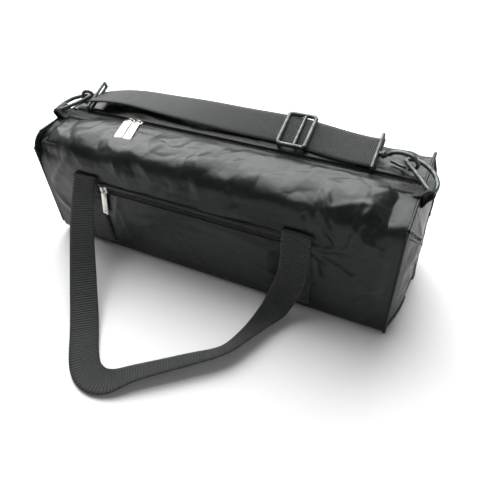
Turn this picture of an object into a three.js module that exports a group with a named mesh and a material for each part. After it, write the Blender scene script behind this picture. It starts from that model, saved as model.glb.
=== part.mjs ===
// Telescope carry case: a soft zipped box of coated nylon with two grab handles,
// a front pocket, and a shoulder strap on swivel snap hooks.
// Millimetres, +Z up. The origin is on the ground under the middle of the case,
// +X runs along the case, and -Y is the side that carries the front pocket.
import * as THREE from "three";

// Case body
const LENGTH = 440;
const DEPTH = 136;
const WALL = 4;
const GAP = 0.5;
const PAD = 3;
const BOTTOM = 3;
const BOARD = 3;
const LID_Z = 141.5;
const LID = 4;
const FRONT_OPENING = 193;
const REAR_OPENING = 149;
const PIPING = 2.5;

// Webbing
const HANDLE_WEB = 32;
const STRAP_WEB = 38;
const WEB = 2.6;
const HANDLE_X = [-148, 118];
const ANCHOR_TOP = 117;
const ANCHOR_LOW = 14;
const HANDLE_PIVOT_Y = 73.5;

// Top zip
const ZIP_Y = 5;
const CHAIN = 6;
const TAPE = 14;
const TAPE_THICK = 1.6;
const SLIDERS_X = [-129, -117];
const SLIDER = { x: 9, y: 9, z: 4.2 };
const PULL = { width: 8.5, length: 38, thick: 1.6, yaw: 17 };

// Front pocket
const POCKET = { x0: -131, x1: 101, z0: 18, z1: 96 };
const POCKET_ZIP_Z = 101;
const POCKET_PULL = { width: 7.5, length: 34, thick: 1.4 };

// Shoulder strap hardware
const STRAP_Y = 32;
const STRAP_Z = 160;
const STRAP_TILT = 20;
const STRAP_SPLIT_X = 150;
const LOOP_X = 166;
const GLIDE = { x: 76, length: 28, width: 46, thick: 3.2, bar: 4.5 };
const WIRE = 2.1;
const HOOK_Y = 30;
const HOOK_Z = 160.5;
const RING = { x: 213, y: 14, z: 159.8, radius: 15, wire: 2.2 };
const TAB = { inward: 10, outward: 3, half: 12 };

const NYLON = 0x17191a;
const WEBBING = 0x1c201e;
const STEEL = 0x7f8580;
const NICKEL = 0xc9c9b8;

const caseGroup = new THREE.Group();

function material(color, roughness, metalness) {
  return new THREE.MeshStandardMaterial({ color, roughness, metalness });
}

function place(name, geometry, look) {
  const mesh = new THREE.Mesh(geometry, look);
  mesh.name = name;
  caseGroup.add(mesh);
  return mesh;
}

const nylon = () => material(NYLON, 0.45, 0);
const webbing = () => material(WEBBING, 0.8, 0);
const steel = () => material(STEEL, 0.35, 1);
const nickel = () => material(NICKEL, 0.25, 1);
const foam = () => material(0x2b2d2e, 0.95, 0);
const board = () => material(0x3a352e, 0.9, 0);

// A block between two opposite corners.
function block(name, low, high, look) {
  const size = high.map((value, axis) => value - low[axis]);
  const geometry = new THREE.BoxGeometry(...size);
  geometry.translate(...low.map((value, axis) => (value + high[axis]) / 2));
  return place(name, geometry, look);
}

function roundedOutline(target, width, height, radius) {
  const x = width / 2;
  const y = height / 2;
  target.moveTo(-x + radius, -y);
  target.lineTo(x - radius, -y);
  target.absarc(x - radius, -y + radius, radius, -Math.PI / 2, 0, false);
  target.lineTo(x, y - radius);
  target.absarc(x - radius, y - radius, radius, 0, Math.PI / 2, false);
  target.lineTo(-x + radius, y);
  target.absarc(-x + radius, y - radius, radius, Math.PI / 2, Math.PI, false);
  target.lineTo(-x, -y + radius);
  target.absarc(-x + radius, -y + radius, radius, Math.PI, Math.PI * 1.5, false);
  return target;
}

// A round wire along a smooth path.
function wire(points, radius, steps) {
  const section = new THREE.Shape();
  section.absarc(0, 0, radius, 0, Math.PI * 2, false);
  const path = new THREE.CatmullRomCurve3(points.map((p) => new THREE.Vector3(...p)));
  return new THREE.ExtrudeGeometry(section, {
    extrudePath: path,
    steps,
    curveSegments: 5,
  });
}

// Flat webbing whose middle runs through the points. Each point carries the
// direction of the webbing's width, and the webbing is one closed solid.
function ribbon(stations, width, thickness, steps) {
  const middle = new THREE.CatmullRomCurve3(
    stations.map((s) => new THREE.Vector3(...s.at)),
    false,
    "centripetal",
  );
  const across = new THREE.CatmullRomCurve3(
    stations.map((s) => new THREE.Vector3(...s.across).normalize()),
    false,
    "centripetal",
  );
  const positions = [];
  const index = [];
  for (let i = 0; i <= steps; i += 1) {
    const t = i / steps;
    const at = middle.getPoint(t);
    const side = across.getPoint(t).normalize();
    const normal = new THREE.Vector3().crossVectors(middle.getTangent(t), side).normalize();
    side.multiplyScalar(width / 2);
    normal.multiplyScalar(thickness / 2);
    const corners = [[-1, -1], [1, -1], [1, 1], [-1, 1]];
    for (const [s, n] of corners) {
      const corner = at.clone().addScaledVector(side, s).addScaledVector(normal, n);
      positions.push(corner.x, corner.y, corner.z);
    }
  }
  for (let i = 0; i < steps; i += 1) {
    for (let k = 0; k < 4; k += 1) {
      const a = i * 4 + k;
      const b = i * 4 + ((k + 1) % 4);
      index.push(a, b, b + 4, a, b + 4, a + 4);
    }
  }
  const last = steps * 4;
  index.push(0, 2, 1, 0, 3, 2);
  index.push(last, last + 1, last + 2, last, last + 2, last + 3);
  const geometry = new THREE.BufferGeometry();
  geometry.setAttribute("position", new THREE.Float32BufferAttribute(positions, 3));
  geometry.setIndex(index);
  return geometry;
}

function buildShell() {
  const x = LENGTH / 2;
  const y = DEPTH / 2;
  const panelX = x - WALL - GAP;
  const floorZ = BOTTOM + GAP;
  const padX = panelX - PAD - GAP;
  const padY = y - WALL - GAP;
  const padZ = floorZ + BOARD + GAP;
  const padTop = LID_Z - GAP;
  block("bottom_panel", [-x, -y, 0], [x, y, BOTTOM], nylon());
  block("bottom_board", [-padX, -padY, floorZ], [padX, padY, floorZ + BOARD], board());
  for (const [name, side] of [["front", -1], ["back", 1]]) {
    const outer = [side * y, side * (y - WALL)].sort((a, b) => a - b);
    const inner = [side * padY, side * (padY - PAD)].sort((a, b) => a - b);
    const panelTop = LID_Z - GAP;
    block(`${name}_panel`, [-panelX, outer[0], floorZ], [panelX, outer[1], panelTop], nylon());
    block(`${name}_pad`, [-padX, inner[0], padZ], [padX, inner[1], padTop], foam());
  }
  for (const [name, side] of [["left", -1], ["right", 1]]) {
    buildEnd(name, side, x, y, floorZ);
    const pad = [side * panelX, side * (panelX - PAD)].sort((a, b) => a - b);
    block(`${name}_end_pad`, [pad[0], -padY, padZ], [pad[1], padY, padTop], foam());
    buildTopEnds(name, side, panelX, y);
  }
}

// The parts of the top that stay sewn to an end, on both sides of the zip.
function buildTopEnds(name, side, panelX, y) {
  const halves = [
    ["front", FRONT_OPENING, -y, ZIP_Y + CHAIN / 2],
    ["rear", REAR_OPENING, ZIP_Y + CHAIN / 2 + GAP, y],
  ];
  for (const [half, opening, y0, y1] of halves) {
    const edges = [side * panelX, side * (opening + GAP)].sort((a, b) => a - b);
    const node = `top_${half}_end_${name}`;
    block(node, [edges[0], y0, LID_Z], [edges[1], y1, LID_Z + LID], nylon());
  }
}

// An end panel inside its piped edge.
function buildEnd(name, side, x, y, floorZ) {
  const height = LID_Z + LID - floorZ;
  const middleZ = floorZ + height / 2;
  const rim = roundedOutline(new THREE.Shape(), DEPTH, height, 8);
  const inner = [DEPTH - PIPING * 2, height - PIPING * 2];
  rim.holes.push(roundedOutline(new THREE.Path(), inner[0], inner[1], 8 - PIPING));
  const face = roundedOutline(new THREE.Shape(), inner[0] - GAP * 2, inner[1] - GAP * 2, 5);
  for (const [part, shape] of [["piping", rim], ["panel", face]]) {
    const geometry = new THREE.ExtrudeGeometry(shape, {
      depth: WALL,
      bevelEnabled: false,
      curveSegments: 4,
    });
    geometry.rotateX(Math.PI / 2);
    geometry.rotateZ(Math.PI / 2);
    geometry.translate(side > 0 ? x - WALL : -x, 0, middleZ);
    place(`${name}_end_${part}`, geometry, nylon());
  }
}

// The two halves of the top, with the zip tapes along their free edges.
function buildTop() {
  const x = FRONT_OPENING;
  const rearX = REAR_OPENING;
  const y = DEPTH / 2;
  const chainFront = ZIP_Y - CHAIN / 2;
  const chainBack = ZIP_Y + CHAIN / 2;
  const top = LID_Z + LID;
  const tapeTop = top + GAP + TAPE_THICK;
  block("front_flap", [-x, -y, LID_Z], [x, chainFront - GAP, top], nylon());
  block("rear_flap", [-rearX, chainBack + GAP, LID_Z], [rearX, y, top], nylon());
  const frontTape = [chainFront - GAP - TAPE, chainFront - GAP];
  block("zip_front_tape", [-x, frontTape[0], top + GAP], [x, frontTape[1], tapeTop], webbing());
  const chainTop = top + 1;
  block("zip_chain", [-x, chainFront, LID_Z], [x, chainBack, chainTop], webbing());
  const rearTape = [chainBack + GAP, chainBack + GAP + TAPE / 2];
  const rearLow = [-rearX, rearTape[0], top + GAP];
  block("zip_rear_tape", rearLow, [rearX, rearTape[1], tapeTop], webbing());
  buildTopSliders(tapeTop + GAP);
}

function buildTopSliders(z) {
  for (const [i, side] of ["left", "right"].entries()) {
    const x = SLIDERS_X[i];
    const y = ZIP_Y - 1.5;
    const low = [x - SLIDER.x / 2, y - SLIDER.y / 2 + 2, z];
    const high = [x + SLIDER.x / 2, y + SLIDER.y / 2, z + SLIDER.z];
    block(`zip_slider_${side}`, low, high, nickel());
    const pull = pullPlate(PULL.width, PULL.length, PULL.thick);
    pull.rotateZ(THREE.MathUtils.degToRad(PULL.yaw));
    pull.translate(x, low[1] - GAP * 2, z + SLIDER.z - PULL.thick);
    place(`zip_pull_${side}`, pull, nickel());
  }
}

// A pull plate lying flat. It hangs from y = 0 towards -Y and has a small hole
// near its free end.
function pullPlate(width, length, thick) {
  const outline = roundedOutline(new THREE.Shape(), width, length, 1.2);
  const hole = new THREE.Path();
  hole.absarc(0, -length / 2 + 5, 1.4, 0, Math.PI * 2, true);
  outline.holes.push(hole);
  const geometry = new THREE.ExtrudeGeometry(outline, {
    depth: thick,
    bevelEnabled: false,
    curveSegments: 4,
  });
  geometry.translate(0, -length / 2 - 1.2, 0);
  return geometry;
}

function buildPocket() {
  const face = -DEPTH / 2 - GAP;
  const { x0, x1, z0, z1 } = POCKET;
  block("pocket_panel", [x0, face - 2.2, z0], [x1, face, z1], nylon());
  const chainLow = POCKET_ZIP_Z - CHAIN / 2;
  const chainHigh = POCKET_ZIP_Z + CHAIN / 2;
  block("pocket_zip_chain", [x0, face - 2.2, chainLow], [x1, face, chainHigh], webbing());
  const tapeHigh = chainHigh + GAP + 6;
  block("pocket_zip_tape", [x0, face - 2, chainHigh + GAP], [x1, face, tapeHigh], webbing());
  const sliderX = x0 + 7;
  const sliderFace = face - 2.2 - GAP;
  const low = [sliderX - 4.5, sliderFace - 4, POCKET_ZIP_Z - 3.5];
  const high = [sliderX + 4.5, sliderFace, POCKET_ZIP_Z + 6];
  block("pocket_slider", low, high, nickel());
  const pull = pullPlate(POCKET_PULL.width, POCKET_PULL.length, POCKET_PULL.thick);
  pull.rotateX(Math.PI / 2);
  pull.translate(sliderX, sliderFace - GAP, low[2] - GAP);
  place("pocket_pull", pull, nickel());
}

// Webbing sewn down each long side, and the free loop that hangs from it and
// lies on the ground.
function buildHandles() {
  for (const [name, side] of [["front", -1], ["back", 1]]) {
    const face = side * (DEPTH / 2 + GAP);
    const anchor = [face, face + side * WEB].sort((a, b) => a - b);
    for (const [i, end] of ["left", "right"].entries()) {
      const low = [HANDLE_X[i] - HANDLE_WEB / 2, anchor[0], ANCHOR_LOW];
      const high = [HANDLE_X[i] + HANDLE_WEB / 2, anchor[1], ANCHOR_TOP];
      block(`${name}_anchor_${end}`, low, high, webbing());
    }
    const loop = name === "front" ? frontLoop() : backLoop();
    place(`${name}_handle`, ribbon(loop, HANDLE_WEB, WEB, 56), webbing());
  }
}

function frontLoop() {
  const [left, right] = HANDLE_X;
  const top = ANCHOR_TOP - 1;
  const lying = WEB / 2 + 0.3;
  return [
    { at: [left, -HANDLE_PIVOT_Y - 1, top], across: [1, 0, 0] },
    { at: [left + 1, -84, top - 16], across: [1, 0, 0] },
    { at: [left + 12, -112, 72], across: [1, 0.1, 0] },
    { at: [left + 32, -150, 34], across: [1, 0.4, 0] },
    { at: [left + 60, -192, 9], across: [1, 0.75, 0] },
    { at: [-60, -229, lying + 1], across: [0.8, 0.8, 0] },
    { at: [-40, -242, lying + 1], across: [0.43, 0.9, 0] },
    { at: [-20, -240, lying + 3], across: [-0.3, 0.95, -0.12] },
    { at: [4, -220, lying + 6], across: [-0.62, 0.75, -0.3] },
    { at: [44, -186, lying + 7], across: [-0.62, 0.75, -0.35] },
    { at: [74, -160, lying + 8], across: [-0.7, 0.65, -0.38] },
    { at: [92, -128, lying + 9], across: [-0.9, 0.4, -0.35] },
    { at: [101, -106, lying + 11], across: [-1, 0.25, -0.2] },
    { at: [110, -92, 26], across: [-1, 0.05, 0] },
    { at: [right - 2, -80, 62], across: [-1, 0, 0] },
    { at: [right, -HANDLE_PIVOT_Y - 1, top], across: [-1, 0, 0] },
  ];
}

function backLoop() {
  const [left, right] = HANDLE_X;
  const top = ANCHOR_TOP - 1;
  const lying = WEB / 2 + 0.3;
  return [
    { at: [right, HANDLE_PIVOT_Y + 1, top], across: [-1, 0, 0] },
    { at: [right, 80, 60], across: [-1, 0, 0] },
    { at: [right - 4, 92, 20], across: [-1, 0, 0] },
    { at: [right - 14, 122, 4], across: [-1, 0.2, 0] },
    { at: [right - 40, 153, lying], across: [-1, -0.7, 0] },
    { at: [40, 172, lying], across: [-0.25, -1, 0] },
    { at: [-15, 177, lying], across: [0, -1, 0] },
    { at: [-70, 172, lying], across: [0.25, -1, 0] },
    { at: [left + 40, 153, lying], across: [1, -0.7, 0] },
    { at: [left + 14, 122, 4], across: [1, 0.2, 0] },
    { at: [left + 4, 92, 20], across: [1, 0, 0] },
    { at: [left, 80, 60], across: [1, 0, 0] },
    { at: [left, HANDLE_PIVOT_Y + 1, top], across: [1, 0, 0] },
  ];
}

// The shoulder strap lies over the rear half of the top, tilted to the front.
function buildStrap() {
  const tilt = THREE.MathUtils.degToRad(STRAP_TILT);
  const across = [0, Math.cos(tilt), Math.sin(tilt)];
  const station = (x, lift, y = STRAP_Y) => ({ at: [x, y, STRAP_Z + lift], across });
  const end = STRAP_SPLIT_X - GAP;
  const main = [station(-end, 0), station(-60, 2), station(40, 2), station(end, 0)];
  place("strap_main", ribbon(main, STRAP_WEB, WEB, 16), webbing());
  const layer = WEB + GAP;
  const back = [station(GLIDE.x + 18, layer + 1.4), station(end, layer)];
  place("strap_return", ribbon(back, STRAP_WEB, WEB, 6), webbing());
  for (const [name, side] of [["left", -1], ["right", 1]]) {
    const near = station(side * (STRAP_SPLIT_X + GAP), 0);
    const far = station(side * (LOOP_X + 5), 0);
    const stations = side > 0 ? [near, far] : [far, near];
    place(`strap_end_${name}`, ribbon(stations, STRAP_WEB, WEB, 2), webbing());
  }
  buildGlide(tilt);
}

// A three-bar slide buckle over the strap.
function buildGlide(tilt) {
  const { length, width, thick, bar } = GLIDE;
  const plate = roundedOutline(new THREE.Shape(), length, width, 4);
  const slotLength = (length - bar * 3) / 2;
  for (const side of [-1, 1]) {
    const slot = roundedOutline(new THREE.Path(), slotLength, width - bar * 2, 2);
    const offset = (side * (slotLength + bar)) / 2;
    const points = slot.getPoints(4).map((p) => new THREE.Vector2(p.x + offset, p.y));
    plate.holes.push(new THREE.Path(points.slice(0, -1)));
  }
  const geometry = new THREE.ExtrudeGeometry(plate, {
    depth: thick,
    bevelEnabled: false,
    curveSegments: 4,
  });
  geometry.rotateX(tilt);
  const lift = WEB / 2 + 2.6;
  geometry.translate(GLIDE.x, STRAP_Y - lift * Math.sin(tilt), STRAP_Z + 1 + lift * Math.cos(tilt));
  place("tri_glide", geometry, steel());
}

// A hook set at one end: the loop that holds the strap, the swivel, the hook
// with its sprung gate, the D-ring it clips to, and the ring's webbing tab.
function buildHookSet(name, side) {
  const tilt = THREE.MathUtils.degToRad(STRAP_TILT);
  const loop = roundedOutline(new THREE.Shape(), STRAP_WEB + 9, WEB + 8.5, 4);
  loop.holes.push(roundedOutline(new THREE.Path(), STRAP_WEB + 1.6, WEB + 1.2, 1));
  const frame = new THREE.ExtrudeGeometry(loop, {
    depth: WIRE * 2,
    bevelEnabled: false,
    curveSegments: 4,
  });
  frame.rotateX(Math.PI / 2);
  frame.rotateZ(Math.PI / 2);
  frame.rotateX(tilt);
  frame.translate(side * LOOP_X - WIRE, STRAP_Y, STRAP_Z);
  place(`strap_loop_${name}`, frame, steel());

  const swivelX = LOOP_X + 6;
  const swivel = new THREE.CylinderGeometry(3.4, 3.4, 5, 16);
  swivel.rotateZ(Math.PI / 2);
  swivel.translate(side * (swivelX + 2.5), HOOK_Y, HOOK_Z);
  place(`swivel_${name}`, swivel, steel());

  const out = (x, y, z) => [side * (swivelX + x), y, HOOK_Z + z];
  const spine = [
    out(7.6, HOOK_Y, 1.5),
    out(11, HOOK_Y - 1, 5.5),
    out(20, HOOK_Y - 3, 7.8),
    out(30, HOOK_Y - 6, 7.2),
    out(36, HOOK_Y - 8, 1),
    out(33, HOOK_Y - 7, -5.2),
    out(28, HOOK_Y - 5.5, -7),
  ];
  place(`hook_${name}`, wire(spine, WIRE, 18), steel());
  const gate = [
    out(9, HOOK_Y - 0.5, -5.5),
    out(17, HOOK_Y - 2.5, -6.6),
    out(24.5, HOOK_Y - 4.5, -7),
  ];
  place(`hook_gate_${name}`, wire(gate, 1.5, 4), steel());

  const ring = new THREE.TorusGeometry(RING.radius, RING.wire, 8, 28);
  ring.translate(side * RING.x, RING.y, RING.z);
  place(`d_ring_${name}`, ring, steel());
  const tabX = RING.x + RING.radius;
  const tab = [side * (tabX - TAB.inward), side * (tabX + TAB.outward)].sort((a, b) => a - b);
  const low = [tab[0], RING.y - TAB.half, LID_Z + LID + GAP];
  const high = [tab[1], RING.y + TAB.half, RING.z - RING.wire - GAP];
  block(`ring_tab_${name}`, low, high, webbing());
}

buildShell();
buildTop();
buildPocket();
buildHandles();
buildStrap();
buildHookSet("left", -1);
buildHookSet("right", 1);

export default caseGroup;
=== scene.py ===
"""Looks of a telescope carry case: coated nylon, webbing, zips and snap hooks."""
import math

import bmesh
import bpy
import numpy as np
from mathutils import Matrix, Vector
from mathutils.bvhtree import BVHTree
from mathutils.geometry import delaunay_2d_cdt


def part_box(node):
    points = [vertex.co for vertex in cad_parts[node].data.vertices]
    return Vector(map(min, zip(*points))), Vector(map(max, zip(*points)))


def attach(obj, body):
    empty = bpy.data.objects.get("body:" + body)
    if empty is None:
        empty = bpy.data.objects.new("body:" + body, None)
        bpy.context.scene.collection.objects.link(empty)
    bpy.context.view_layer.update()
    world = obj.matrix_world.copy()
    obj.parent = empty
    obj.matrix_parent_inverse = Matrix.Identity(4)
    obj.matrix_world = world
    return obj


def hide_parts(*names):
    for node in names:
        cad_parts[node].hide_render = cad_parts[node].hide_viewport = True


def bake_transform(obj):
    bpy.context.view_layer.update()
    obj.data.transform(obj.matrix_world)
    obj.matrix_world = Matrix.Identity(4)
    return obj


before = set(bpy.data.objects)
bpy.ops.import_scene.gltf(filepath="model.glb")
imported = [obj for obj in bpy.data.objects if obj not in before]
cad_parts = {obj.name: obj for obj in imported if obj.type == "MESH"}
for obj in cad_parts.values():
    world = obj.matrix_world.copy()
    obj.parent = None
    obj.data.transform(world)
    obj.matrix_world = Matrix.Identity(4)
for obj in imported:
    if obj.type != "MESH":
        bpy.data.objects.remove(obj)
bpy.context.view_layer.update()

MM = 0.001
CASE = "case"

# ------------------------------------------------------------------ dimensions (mm)
ZIP_Y = 5.0
HANDLE_X = (-148.0, 118.0)
HANDLE_WEB = 32.0
STRAP_WEB = 38.0
WEB_THICK = 2.4
ANCHOR_TOP = 117.0
ANCHOR_LOW = 14.0
STRAP_Y = 32.0
STRAP_Z = 160.0
STRAP_TILT = math.radians(20)
STRAP_FORWARD = 6.0
LEFT_FLARE = 7.0
CLOTH_LENGTH = 436.0
PULL_LEAN = 0.2
LOOP_X = 166.0
LEFT_LOOP_X = 194.0
HOOK_END = 209.0


# ------------------------------------------------------------------ camera, lights, floor
def add_camera():
    azimuth, elevation, roll = math.radians(28.47), math.radians(42.83), math.radians(-3.96)
    distance, target = 0.6273, Vector((0.0181, 0.0, 0.0077))
    back = Vector((
        math.sin(azimuth) * math.cos(elevation),
        -math.cos(azimuth) * math.cos(elevation),
        math.sin(elevation),
    ))
    right = Vector((math.cos(azimuth), math.sin(azimuth), 0))
    up = back.cross(right)
    right2 = right * math.cos(roll) + up * math.sin(roll)
    up2 = up * math.cos(roll) - right * math.sin(roll)
    data = bpy.data.cameras.new("camera")
    data.sensor_width = 36
    data.lens = 36 * 480 / 487
    data.clip_start = 0.01
    camera = bpy.data.objects.new("camera", data)
    turn = Matrix((right2, up2, back)).transposed().to_4x4()
    camera.matrix_world = Matrix.Translation(target + back * distance) @ turn
    bpy.context.scene.collection.objects.link(camera)
    bpy.context.scene.camera = camera


def area_light(name, place, aim, size, power):
    data = bpy.data.lights.new(name, "AREA")
    data.shape = "RECTANGLE"
    data.size, data.size_y = size
    data.energy = power
    light = bpy.data.objects.new(name, data)
    light.location = place
    light.rotation_euler = (Vector(aim) - Vector(place)).to_track_quat("-Z", "Y").to_euler()
    bpy.context.scene.collection.objects.link(light)


def add_studio():
    world = bpy.data.worlds.new("studio")
    world.use_nodes = True
    background = world.node_tree.nodes["Background"]
    background.inputs["Color"].default_value = (1, 1, 1, 1)
    background.inputs["Strength"].default_value = 0.16
    bpy.context.scene.world = world
    bpy.context.scene.view_settings.view_transform = "Standard"
    area_light("overhead", (-0.5, 1.0, 1.15), (0, 0, 0.12), (2.2, 1.5), 62)
    area_light("high_key", (-0.2, 0.3, 1.9), (0, 0, 0), (1.6, 0.9), 22)
    area_light("right_side", (1.5, 0.25, 0.5), (0.2, 0, 0.08), (0.9, 0.9), 3.4)
    area_light("left_side", (-1.5, 0.1, 0.6), (-0.2, 0, 0.08), (0.8, 0.8), 1.6)
    area_light("front_fill", (0.5, -1.5, 0.9), (0, -0.1, 0.05), (0.5, 0.5), 1.2)
    bpy.ops.mesh.primitive_plane_add(size=12, location=(0, 0, -0.0004))
    floor = bpy.context.object
    floor.name = "floor"
    floor_look = bpy.data.materials.new("pale_floor")
    floor_look.use_nodes = True
    shader = floor_look.node_tree.nodes["Principled BSDF"]
    shader.inputs["Base Color"].default_value = (0.86, 0.86, 0.86, 1)
    shader.inputs["Roughness"].default_value = 0.8
    floor.data.materials.append(floor_look)


# ------------------------------------------------------------------ materials
class Look:
    """A node material with small helpers for procedural colour and bump."""

    def __init__(self, name, roughness, metallic=0.0, specular=0.5):
        self.material = bpy.data.materials.new(name)
        self.material.use_nodes = True
        self.tree = self.material.node_tree
        self.shader = self.tree.nodes["Principled BSDF"]
        self.shader.inputs["Roughness"].default_value = roughness
        self.shader.inputs["Metallic"].default_value = metallic
        self.shader.inputs["Specular IOR Level"].default_value = specular
        self.normal = None

    def node(self, kind, **values):
        made = self.tree.nodes.new(kind)
        for key, value in values.items():
            if key in made.inputs:
                made.inputs[key].default_value = value
            else:
                setattr(made, key, value)
        return made

    def link(self, source, target):
        self.tree.links.new(source, target)

    def coordinates(self, kind="Object", scale=(1, 1, 1)):
        source = self.node("ShaderNodeTexCoord")
        mapping = self.node("ShaderNodeMapping")
        mapping.inputs["Scale"].default_value = scale
        self.link(source.outputs[kind], mapping.inputs["Vector"])
        return mapping.outputs["Vector"]

    def noise(self, scale, detail=3, kind="Object", stretch=(1, 1, 1), distortion=0.0):
        texture = self.node("ShaderNodeTexNoise")
        texture.inputs["Scale"].default_value = scale
        texture.inputs["Detail"].default_value = detail
        texture.inputs["Distortion"].default_value = distortion
        self.link(self.coordinates(kind, stretch), texture.inputs["Vector"])
        return texture.outputs["Fac"]

    def crackle(self, scale, smoothness):
        """Soft facets with sharp edges between them, as in crumpled coated cloth."""
        warp = self.node("ShaderNodeTexNoise")
        warp.inputs["Scale"].default_value = scale * 0.6
        warp.inputs["Detail"].default_value = 2
        place = self.coordinates()
        self.link(place, warp.inputs["Vector"])
        mixed = self.node("ShaderNodeMix", data_type="VECTOR")
        mixed.inputs["Factor"].default_value = 0.06
        self.link(place, mixed.inputs["A"])
        self.link(warp.outputs["Color"], mixed.inputs["B"])
        cells = self.node("ShaderNodeTexVoronoi", feature="SMOOTH_F1")
        cells.inputs["Scale"].default_value = scale
        cells.inputs["Smoothness"].default_value = 1 - smoothness
        self.link(mixed.outputs["Result"], cells.inputs["Vector"])
        return cells.outputs["Distance"]

    def wave(self, period_mm, direction, kind="UV", profile="SIN"):
        texture = self.node("ShaderNodeTexWave", wave_type="BANDS", bands_direction=direction)
        texture.wave_profile = profile
        texture.inputs["Scale"].default_value = 2 * math.pi * 1000 / (20 * period_mm)
        texture.inputs["Distortion"].default_value = 0
        self.link(self.coordinates(kind), texture.inputs["Vector"])
        return texture.outputs["Fac"]

    def multiply(self, a, b):
        product = self.node("ShaderNodeMath", operation="MULTIPLY")
        self.link(a, product.inputs[0])
        if isinstance(b, (int, float)):
            product.inputs[1].default_value = b
        else:
            self.link(b, product.inputs[1])
        return product.outputs[0]

    def colour(self, fac, dark, light, low=0.35, high=0.65):
        ramp = self.node("ShaderNodeValToRGB")
        ramp.color_ramp.elements[0].position = low
        ramp.color_ramp.elements[1].position = high
        ramp.color_ramp.elements[0].color = (*dark, 1)
        ramp.color_ramp.elements[1].color = (*light, 1)
        self.link(fac, ramp.inputs["Fac"])
        self.link(ramp.outputs["Color"], self.shader.inputs["Base Color"])

    def roughness(self, fac, low, high):
        spread = self.node("ShaderNodeMapRange")
        spread.inputs["To Min"].default_value = low
        spread.inputs["To Max"].default_value = high
        self.link(fac, spread.inputs["Value"])
        self.link(spread.outputs["Result"], self.shader.inputs["Roughness"])

    def bump(self, height, distance_mm, strength=1.0):
        bump = self.node("ShaderNodeBump")
        bump.inputs["Strength"].default_value = strength
        bump.inputs["Distance"].default_value = distance_mm * MM
        self.link(height, bump.inputs["Height"])
        if self.normal:
            self.link(self.normal, bump.inputs["Normal"])
        self.normal = bump.outputs["Normal"]
        self.link(self.normal, self.shader.inputs["Normal"])


def nylon_look(name, dark, light, gloss=0.34):
    look = Look(name, gloss, specular=0.26)
    look.colour(look.noise(14, 4), dark, light)
    look.roughness(look.noise(45, 3), gloss - 0.04, gloss + 0.08)
    look.bump(look.crackle(26, 0.55), 1.9, 0.6)
    look.bump(look.crackle(58, 0.4), 0.9, 0.55)
    look.bump(look.noise(90, 3), 0.3, 0.4)
    look.bump(look.noise(1400, 1), 0.05, 0.4)
    return look.material


def webbing_look(name, dark, light, rib_mm):
    look = Look(name, 0.62, specular=0.3)
    ribs = look.wave(rib_mm, "X")
    cross = look.wave(1.9, "Y")
    weave = look.multiply(ribs, look.noise(260, 2))
    look.colour(weave, dark, light, 0.05, 0.6)
    look.bump(ribs, 0.5, 0.9)
    look.bump(cross, 0.06, 0.4)
    look.bump(look.noise(900, 2), 0.12, 0.6)
    look.shader.inputs["Sheen Weight"].default_value = 0.15
    look.shader.inputs["Sheen Roughness"].default_value = 0.5
    return look.material


def tape_look():
    look = Look("zip_tape_weave", 0.6, specular=0.4)
    look.colour(look.noise(700, 2), (0.008, 0.009, 0.009), (0.022, 0.024, 0.023))
    look.bump(look.noise(1200, 2, stretch=(0.4, 1, 1)), 0.15, 0.8)
    return look.material


def coil_look():
    look = Look("nylon_coil", 0.38, specular=0.5)
    look.colour(look.noise(300, 2), (0.008, 0.009, 0.009), (0.02, 0.022, 0.021))
    look.bump(look.noise(900, 2), 0.05, 0.4)
    return look.material


def thread_look():
    look = Look("sewing_thread", 0.7, specular=0.3)
    look.colour(look.noise(900, 2), (0.015, 0.017, 0.016), (0.05, 0.055, 0.05))
    look.bump(look.noise(2500, 2), 0.05, 0.6)
    return look.material


def metal_look(name, dark, light, low, high):
    look = Look(name, low, metallic=1.0)
    look.colour(look.noise(220, 4), dark, light, 0.3, 0.7)
    look.roughness(look.noise(340, 4), low, high)
    look.bump(look.noise(520, 3), 0.04, 0.35)
    return look.material


def foam_look(name, dark, light):
    look = Look(name, 0.85, specular=0.25)
    look.colour(look.noise(500, 3), dark, light)
    look.bump(look.noise(1500, 2), 0.15, 0.7)
    look.bump(look.noise(60, 3), 0.8, 0.4)
    return look.material


NYLON = nylon_look("coated_nylon", (0.005, 0.0078, 0.0062), (0.010, 0.0150, 0.0122))
LINING = nylon_look("lining_cloth", (0.014, 0.015, 0.015), (0.024, 0.026, 0.026), 0.5)
WEBBING = webbing_look("handle_webbing", (0.007, 0.009, 0.008), (0.024, 0.029, 0.026), 2.9)
STRAP_WEBBING = webbing_look("strap_webbing", (0.012, 0.015, 0.013), (0.045, 0.052, 0.046), 1.7)
TAPE = tape_look()
COIL = coil_look()
THREAD = thread_look()
NICKEL = metal_look("bright_nickel", (0.55, 0.55, 0.50), (0.70, 0.70, 0.64), 0.26, 0.42)
STEEL = metal_look("worn_dark_nickel", (0.07, 0.08, 0.074), (0.15, 0.165, 0.153), 0.38, 0.58)
BOARD = foam_look("stiffener_board", (0.05, 0.045, 0.04), (0.09, 0.085, 0.075))


# ------------------------------------------------------------------ mesh helpers
def make(name, vertices, faces, look, smooth=True, uvs=None):
    """An object from millimetre vertices."""
    mesh = bpy.data.meshes.new(name)
    points = np.asarray(vertices, float) * MM
    mesh.from_pydata(points.tolist(), [], [list(map(int, f)) for f in faces])
    mesh.update()
    if smooth:
        mesh.polygons.foreach_set("use_smooth", [True] * len(mesh.polygons))
    if uvs is not None:
        layer = mesh.uv_layers.new(name="uv")
        loops = np.zeros(len(mesh.loops), int)
        mesh.loops.foreach_get("vertex_index", loops)
        layer.data.foreach_set("uv", np.asarray(uvs, float)[loops].ravel())
    piece = bpy.data.objects.new(name, mesh)
    bpy.context.scene.collection.objects.link(piece)
    mesh.materials.append(look)
    return piece


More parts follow.
